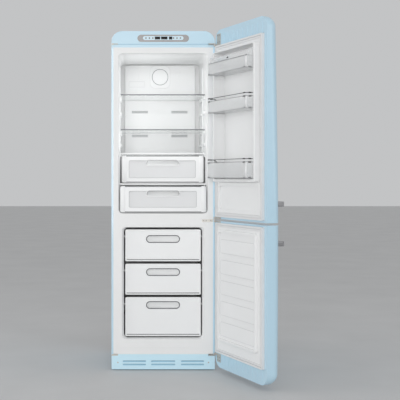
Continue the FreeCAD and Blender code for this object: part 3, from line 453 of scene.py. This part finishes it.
# %% Bin beads and corners
TOP_BIN_RIM = 1761.0
RIM_RADIUS = 1.3
FOOT_RADIUS = 1.5
CORNER_RADIUS = 5.2
for node in ("top_bin", "middle_bin", "bottom_bin"):
    low, high = shut_box(node)
    rim_z = TOP_BIN_RIM if node == "top_bin" else high[2]
    outline = [(low[0] + 1.2, low[1] + 3), (low[0] + 1.2, high[1] - 1.2), (high[0] - 1.2, high[1] - 1.2),
               (high[0] - 1.2, low[1] + 3)]
    rod(f"{node}_rim", [(x, y, rim_z) for x, y in outline], RIM_RADIUS, node, rail_grey,
        in_door=True, bend=RAIL_BEND)
    rod(f"{node}_foot_bead", [(x, y, low[2] + 1.6) for x, y in outline], FOOT_RADIUS, node,
        shelf_trim, in_door=True, bend=RAIL_BEND)
    corner_clips(node, low, high, low[2] + 4, shelf_trim)
    for side, x in (("left", low[0] + 6), ("right", high[0] - 6)):
        rod(f"{node}_corner_{side}", [(x, high[1] - 5, low[2] + 7), (x, high[1] - 5, rim_z - 5)],
            CORNER_RADIUS, node, painted_highlight_plastic, in_door=True)
print("bin beads made")

# %% [markdown]
# The flap lid of the top bin has a small dark knob in its middle, which a finger lifts, and a
# rolled front edge. Both are short rods along the lid's own slope and edge.

# %% Lid knob and edge
KNOB_FOOT = (0, -236.5, 1774.9)
KNOB_TIP = (0, -231.8, 1777.5)
low, high = shut_box("bin_lid")
rod("bin_lid_knob", [KNOB_FOOT, KNOB_TIP], 3.9, "bin_lid", dark_plastic, in_door=True)
rod("bin_lid_edge", [(low[0] + 4, high[1] - 1, low[2] + 1.2), (high[0] - 4, high[1] - 1, low[2] + 1.2)],
    RIM_RADIUS, "bin_lid", shelf_trim, in_door=True)
print("lid knob and edge made")

# %% [markdown]
# Each freezer drawer has a stadium-shaped hand slot. A dark grey ring round it is painted
# shadow: the shadow line of a slightly raised moulding. It could be cut into the front, but the
# front is part of the frame, so a thin closed rod follows the slot instead. A grey strip near the
# foot of each front is painted shadow under its lower edge.

# %% Drawer outlines
SLOT_LENGTH = 193.0
SLOT_HEIGHT = 40.0
SLOT_CENTRES = {"freezer_drawer_top": 760.0, "freezer_drawer_middle": 567.0, "freezer_drawer_bottom": 375.0}
SLOT_END_STEPS = 12


def stadium_points(centre_z, y):
    """The outline of a hand slot, a bar with half-round ends that faces the front."""
    radius = SLOT_HEIGHT / 2
    points = []
    for side in (1, -1):
        for step in range(SLOT_END_STEPS + 1):
            turn = math.pi * step / SLOT_END_STEPS - math.pi / 2
            points.append((side * (SLOT_LENGTH / 2 - radius + radius * math.cos(turn)), y,
                           centre_z + side * radius * math.sin(turn)))
    return points


for node, centre in SLOT_CENTRES.items():
    low, high = mm_box(node)
    rod(f"{node}_slot_shadow_ring", stadium_points(centre, low[1] + 0.2), 2.3, node, rail_grey,
        closed=True, bend=0.5)
    bar(f"{node}_foot_shadow_line", (low[0] + 8, high[0] - 8), (low[1] - 0.8, low[1] + 1.5),
        (low[2] + 8, low[2] + 13), 0.7, node, shelf_trim)
print("drawer outlines made")

# %% [markdown]
# Each crisper front has a rounded pillar at either end. A thin dark line along its top is painted
# shadow in the gap above the front, and a grey strip at its foot is painted shadow under its lip.
# Fine grey lines, painted shadow at the edges, mark the window and the grip, and a leaning plate
# closes the scoop behind the grip, so that no light falls through it.

# %% Crisper trims
PILLAR_WIDE = 25.0
WINDOW_X = (-198.0, 194.0)
WINDOW_INSET = 30.0
GRIP_HALF = 98.0
OUTLINE_STEPS = 5


def rounded_outline(x, z, y, radius):
    """The outline of a rounded rectangle that faces the front."""
    points = []
    for cx, cz, start in ((x[1] - radius, z[1] - radius, 0), (x[0] + radius, z[1] - radius, 90),
                          (x[0] + radius, z[0] + radius, 180), (x[1] - radius, z[0] + radius, 270)):
        for step in range(OUTLINE_STEPS + 1):
            turn = math.radians(start + 90 * step / OUTLINE_STEPS)
            points.append((cx + radius * math.cos(turn), y, cz + radius * math.sin(turn)))
    return points


for body in ("crisper_upper", "crisper_lower"):
    low, high = mm_box(f"{body}_front")
    face = low[1]
    inner_left, inner_right = low[0] + 3 + PILLAR_WIDE, high[0] - 3 - PILLAR_WIDE
    for side, x in (("left", (low[0] + 3, inner_left)), ("right", (inner_right, high[0] - 3))):
        bar(f"{body}_pillar_{side}", x, (face - 1.8, face + 1), (low[2] + 3, high[2] - 3), 1.5, body,
            moulded_white)
    bar(f"{body}_top_shadow_line", (inner_left, inner_right), (face - 0.8, face + 1), (high[2] - 5.2, high[2] - 0.6),
        0.5, body, rail_grey)
    bar(f"{body}_foot_shadow_lip", (inner_left, inner_right), (face - 0.8, face + 1), (low[2] + 2, low[2] + 8),
        0.5, body, outline_grey)
    window_z = (low[2] + WINDOW_INSET, high[2] - WINDOW_INSET)
    rod(f"{body}_window_shadow_line", rounded_outline(WINDOW_X, window_z, face, 7.0), 0.9, body,
        outline_grey, closed=True, bend=0.2)
    slant(f"{body}_grip_scoop", (6 - GRIP_HALF, GRIP_HALF - 6), (face + 7, high[2] - 60),
          (face + 26, high[2] - 27), 1.6, body, moulded_white)
    grip_y, grip_top, grip_bottom = face - 0.2, high[2] - 27, high[2] - 52
    rod(f"{body}_grip_shadow_line", [(-GRIP_HALF, grip_y, grip_bottom), (12 - GRIP_HALF, grip_y, grip_top),
                              (GRIP_HALF - 12, grip_y, grip_top), (GRIP_HALF, grip_y, grip_bottom)],
        1.0, body, outline_grey, bend=10.0)
print("crisper trims made")

# %% [markdown]
# The air duct cover carries a round fan cover, a sensor window and four vents. All are white on
# a white wall, so fine pale-grey lines, painted shadow at their edges, let each of them read, and
# dark slats stand behind the vents. Two thin ribs stiffen the top of the cover, and a pale-grey
# line down each side, painted shadow, shows where it meets the wall.

# %% Duct details
DUCT_FACE = 225.0
FAN_RING_RADIUS = 50.0
SENSOR_X, SENSOR_Z = (-197.0, -97.0), (1693.0, 1728.0)
VENT_CENTRES = [(x, z) for z in (1534.0, 1382.0) for x in (-128.0, 123.5)]
VENT_HALF_LONG = 51.0
fan_low, fan_high = mm_box("fridge_fan")
fan_x, fan_z = (fan_low[0] + fan_high[0]) / 2, (fan_low[2] + fan_high[2]) / 2
cover_low, cover_high = mm_box("fan_cover")
circle = [(fan_x + FAN_RING_RADIUS * math.cos(turn), cover_low[1], fan_z + FAN_RING_RADIUS * math.sin(turn))
          for turn in (math.radians(10 * step) for step in range(36))]
rod("fan_cover_ring", circle, 1.5, "cabinet", grey_plastic, closed=True, bend=0.2)
fan_shadow_edge = rounded_outline((cover_low[0] + 1, cover_high[0] - 1), (cover_low[2] + 1, cover_high[2] - 1),
                           cover_low[1] + 0.4, 33.0)
rod("fan_cover_shadow_edge", fan_shadow_edge, 0.9, "cabinet", faint_grey, closed=True, bend=0.2)
rod("sensor_shadow_outline", rounded_outline(SENSOR_X, SENSOR_Z, DUCT_FACE - 1, 3.0), 0.7, "cabinet",
    faint_grey, closed=True, bend=0.2)
for number, (x, z) in enumerate(VENT_CENTRES, start=1):
    for row, rise in enumerate((-6.0, -2.0, 2.0, 6.0)):
        bar(f"vent_{number}_slat_{row}", (x - VENT_HALF_LONG, x + VENT_HALF_LONG),
            (DUCT_FACE + 1.4, DUCT_FACE + 2.4), (z + rise - 1, z + rise + 1), 0.3, "cabinet",
            grey_plastic)
for side in (-1, 1):
    bar(f"duct_rib_{side}", (135 * side - 1.2, 135 * side + 1.2), (DUCT_FACE - 1.2, DUCT_FACE + 0.5),
        (1636, 1822), 0.5, "cabinet", moulded_white)
for side in (-1, 1):
    rod(f"duct_shadow_edge_{side}", [(223 * side, DUCT_FACE, 1236), (223 * side, DUCT_FACE, 1808)], 1.1, "cabinet",
        faint_grey)
print("duct details made")

# %% [markdown]
# A milky cover lies over the side light, a little longer than the light itself, and spreads it
# over the right wall. A slim bar with a faint glow of its own is enough; the light that really
# falls into the room comes from hidden lamps, set up further down.

# %% Side light cover
light_low, light_high = mm_box("side_light")
bar("side_light_cover", (light_low[0] - 1.2, light_low[0] + 1.4), (light_low[1] - 1, light_high[1] + 19),
    (light_low[2] + 1, light_high[2] + 25), 1.0, "cabinet", lamp_lens)
print("side light cover made")

# %% [markdown]
# On the doors, fine ribs run across the enamelled ends, in a lighter blue that is a painted
# highlight on their crests. A pale-grey line, painted shadow at the edge, follows each pressed
# panel of the freezer door's liner, and screws hold the hinge plates. A bump could hint at the
# ribs, but it would vanish at the silhouette, so they are real bars.

# %% Door details
RIB_X = range(-250, 195, 55)
RIB_HALF_WIDE = 1.4
PANEL_FEET = range(222, 700, 117)
PANEL_HIGH = 77
PANEL_X = (-198, 198)
SCREW_X = (244, 266)
for door, rib_z in (("upper_door", (1880, 1939)), ("lower_door", (51, 109))):
    for x in RIB_X:
        bar(f"{door}_rib_{x}", (x - RIB_HALF_WIDE, x + RIB_HALF_WIDE), (DOOR_FACE + 0.5, DOOR_FACE + 1.8),
            rib_z, 0.6, door, rib_highlight_blue, in_door=True)
for number, z in enumerate(PANEL_FEET, start=1):
    rod(f"liner_panel_{number}", rounded_outline(PANEL_X, (z, z + PANEL_HIGH), DOOR_FACE + 18.6, 14.0), 1.2,
        "lower_door", faint_grey, in_door=True, closed=True, bend=0.2)
for door, heights in (("upper_door", (1898, 1936)), ("lower_door", (66, 84))):
    for x in SCREW_X:
        for z in heights:
            rod(f"{door}_screw_{x}_{z}", [(x, DOOR_FACE + 1.0, z), (x, DOOR_FACE + 3.2, z)], 3.6, door,
                shelf_trim, in_door=True)
for x in (234, 250, 276):
    rod(f"middle_bracket_screw_{x}", [(x, -299.3, 868), (x, -298.2, 868)], 2.6, "cabinet",
        shelf_trim)
print("door details made")

# %% [markdown]
# Behind each slot of the kick plate stands a blade in a deeper blue, painted shade for the dark
# inside the slot. It hides the feet and lets the air through above and below. Real blades lean,
# but through a slot only the face shows, so an upright bar does for the blade.

# %% Kick plate blades
SLOT_SPANS = ((-235.0, -100.0), (-70.0, 70.0), (103.0, 237.0))
kick_low, _ = mm_box("kick_plate")
for number, (x0, x1) in enumerate(SLOT_SPANS, start=1):
    for z in (33.0, 52.0):
        bar(f"kick_blade_{number}_{round(z)}", (x0 + 1, x1 - 1), (kick_low[1] + 2.3, kick_low[1] + 4.0),
            (z - 5.5, z + 3.2), 0.6, "cabinet", shaded_blue)
print("kick plate blades made")

# %% [markdown]
# The back is plain but not bare: screws hold the panel all round. Each head is a short, stout
# rod that stands a little proud, which is enough for a light to catch.

# %% Back panel screws
HEAD_RADIUS = 3.8
_, panel_high = mm_box("back_panel")
head_y = (panel_high[1] - 0.5, panel_high[1] + 1.6)
for side in (-1, 1):
    for row in range(9):
        x, z = 277 * side, 268 + 206 * row
        rod(f"back_screw_{side}_{row}", [(x, y, z) for y in head_y], HEAD_RADIUS, "cabinet",
            plain_steel)
for number, x in enumerate((-180, -60, 60, 180), start=1):
    rod(f"back_screw_top_{number}", [(x, y, 1934) for y in head_y], HEAD_RADIUS, "cabinet",
        plain_steel)
print("back panel screws made")

# %% [markdown]
# Low at the back is the machine room. Thin sheets line its ceiling and its front wall, so that
# no foam shows, and pipes run from the compressor to the condenser, up to the evaporator, and
# through the filter drier. Pipes are drawn through few points and bent softly, as a pipe
# bender would.

# %% Machine room
ROOM_X = (-298, 298)
ROOM_FRONT = 91.4
ROOM_TOP = 246.0
bar("machine_room_ceiling", ROOM_X, (ROOM_FRONT, 292), (246.4, 247.8), 0.4, "cabinet",
    zinc)
bar("machine_room_wall", ROOM_X, (90.2, ROOM_FRONT), (24.5, 247.8), 0.4, "cabinet", zinc)
rod("discharge_pipe", [(100, 215, 205), (100, 215, 226), (60, 250, 226), (20, 250, 210), (-4, 236, 194)],
    3.4, "cabinet", copper, bend=14.0)
rod("suction_pipe", [(60, 180, 130), (34, 180, 130), (34, 150, 160), (34, 150, ROOM_TOP)], 4.2, "cabinet",
    copper, bend=16.0)
rod("capillary_pipe", [(-255, 236, 50), (-272, 236, 50), (-272, 210, 80), (-272, 150, 110),
                       (-272, 150, ROOM_TOP)], 2.2, "cabinet", copper, bend=14.0)
rod("filter_drier", [(-272, 150, 130), (-272, 150, 205)], 8.0, "cabinet", copper)
print("machine room made")

# %% [markdown]
# The control panel has three small display windows of black glass, which stand a hair proud of
# the pale insert and show nothing. Under the panel, a fine strip in a deeper blue is painted
# shade in the seam that parts the fascia from the strip below it. Both could be colours painted
# on by a mask, but as pieces they keep sharp edges from any distance.

# %% Display windows and seam
WINDOW_SPANS = ((-48.5, -17.5), (-12.5, 24.5), (33.5, 52.3))
WINDOW_HALF_HIGH = 8.2
SEAM_Z = (1890.6, 1893.4)
insert_low, insert_high = mm_box("control_insert")
insert_middle = (insert_low[2] + insert_high[2]) / 2
for number, x in enumerate(WINDOW_SPANS, start=1):
    bar(f"display_window_{number}", x, (insert_low[1] - 0.5, insert_low[1] + 0.3),
        (insert_middle - WINDOW_HALF_HIGH, insert_middle + WINDOW_HALF_HIGH), 0.35, "cabinet",
        display_black)
fascia_low, fascia_high = mm_box("control_fascia")
bar("fascia_seam_shadow", (fascia_low[0] + 12, fascia_high[0] - 12), (fascia_low[1] - 0.5, fascia_low[1] + 0.3),
    SEAM_Z, 0.3, "cabinet", shaded_blue)
print("display windows and seam made")

# %% [markdown]
# The appliance stands on a plain pale floor, under an even pale sky.

# %% Floor and sky
FLOOR_HALF = 30
floor_mesh = bpy.data.meshes.new("studio_floor")
floor_mesh.from_pydata([(-FLOOR_HALF, -FLOOR_HALF, 0), (FLOOR_HALF, -FLOOR_HALF, 0),
                        (FLOOR_HALF, FLOOR_HALF, 0), (-FLOOR_HALF, FLOOR_HALF, 0)], [], [(0, 1, 2, 3)])
floor = bpy.data.objects.new("studio_floor", floor_mesh)
floor_mesh.materials.append(finish("pale_floor", (0.62, 0.62, 0.62), (0.58, 0.58, 0.58), 0.6, mottle=2.0,
                                   bump=0.05))
bpy.context.scene.collection.objects.link(floor)

world = bpy.data.worlds.new("studio_world")
world.use_nodes = True
sky = world.node_tree.nodes["Background"]
sky.inputs["Color"].default_value = (0.80, 0.81, 0.82, 1)
sky.inputs["Strength"].default_value = 0.68
bpy.context.scene.world = world
print("floor and sky ready")

# %% [markdown]
# Broad, soft lamps stand in front, at both sides and above, as in a product studio. They can't
# reach the depth of the fridge, and neither could a studio's: there the lit interior helps. So
# two hidden lamps and three small glows stand inside, where the side light and its reflections
# would be. The lamp at the wall has a narrow spread, which keeps the back wall from washing out.

# %% Lamps
def hang(lamp, place):
    """Put a lamp in its place, hidden from the camera."""
    lamp.location = place
    lamp.visible_camera = False
    bpy.context.scene.collection.objects.link(lamp)


def soft_lamp(name, place, aim, size, watts, spread=180):
    """A rectangular lamp that faces its aim, with its spread in degrees."""
    data = bpy.data.lights.new(name, "AREA")
    data.shape = "RECTANGLE"
    data.size, data.size_y = size
    data.energy = watts
    data.spread = math.radians(spread)
    lamp = bpy.data.objects.new(name, data)
    lamp.rotation_euler = (Vector(aim) - Vector(place)).to_track_quat("-Z", "Y").to_euler()
    hang(lamp, place)


soft_lamp("front_lamp", (-0.6, -8.6, 1.75), (0.0, 0.0, 1.0), (3.4, 3.0), 200)
soft_lamp("left_lamp", (-5.0, -1.4, 1.4), (0.6, -0.6, 1.0), (2.4, 2.6), 54)
soft_lamp("side_lamp", (4.2, -2.6, 2.2), (0.3, -0.3, 1.0), (2.0, 2.6), 16)
soft_lamp("top_lamp", (0.0, -1.6, 4.4), (0.0, 0.0, 0.6), (2.5, 2.5), 7)
soft_lamp("interior_lamp", (0.0, -0.285, 1.54), (0.0, 0.5, 1.54), (0.46, 0.52), 0.44)
soft_lamp("wall_lamp", (0.225, -0.06, 1.53), (-0.25, -0.06, 1.53), (0.30, 0.50), 0.42, spread=70)
for number, (height, watts) in enumerate(((1.70, 0.11), (1.50, 0.08), (1.33, 0.42)), start=1):
    glow = bpy.data.lights.new(f"interior_glow_{number}", "POINT")
    glow.energy = watts
    glow.shadow_soft_size = 0.08
    hang(bpy.data.objects.new(f"interior_glow_{number}", glow), (-0.10, -0.16, height))
print("lamps hung")

# %% [markdown]
# The camera looks straight at the front from over five metres, at chest height. It isn't
# tilted, because a tilt would make the tall sides lean together. Its lens is shifted instead,
# so that the appliance and its open doors sit in the frame.

# %% Camera
EYE = (-0.210, -5.703, 1.122)
camera_data = bpy.data.cameras.new("camera")
camera_data.sensor_width = 36.0
camera_data.lens = 83.87
camera_data.shift_x = 0.1825
camera_data.shift_y = -0.0578
camera = bpy.data.objects.new("camera", camera_data)
camera.location = EYE
camera.rotation_euler = (math.pi / 2, 0, 0)
bpy.context.scene.collection.objects.link(camera)
bpy.context.scene.camera = camera
bpy.context.scene.view_settings.view_transform = "Standard"
print("camera ready")
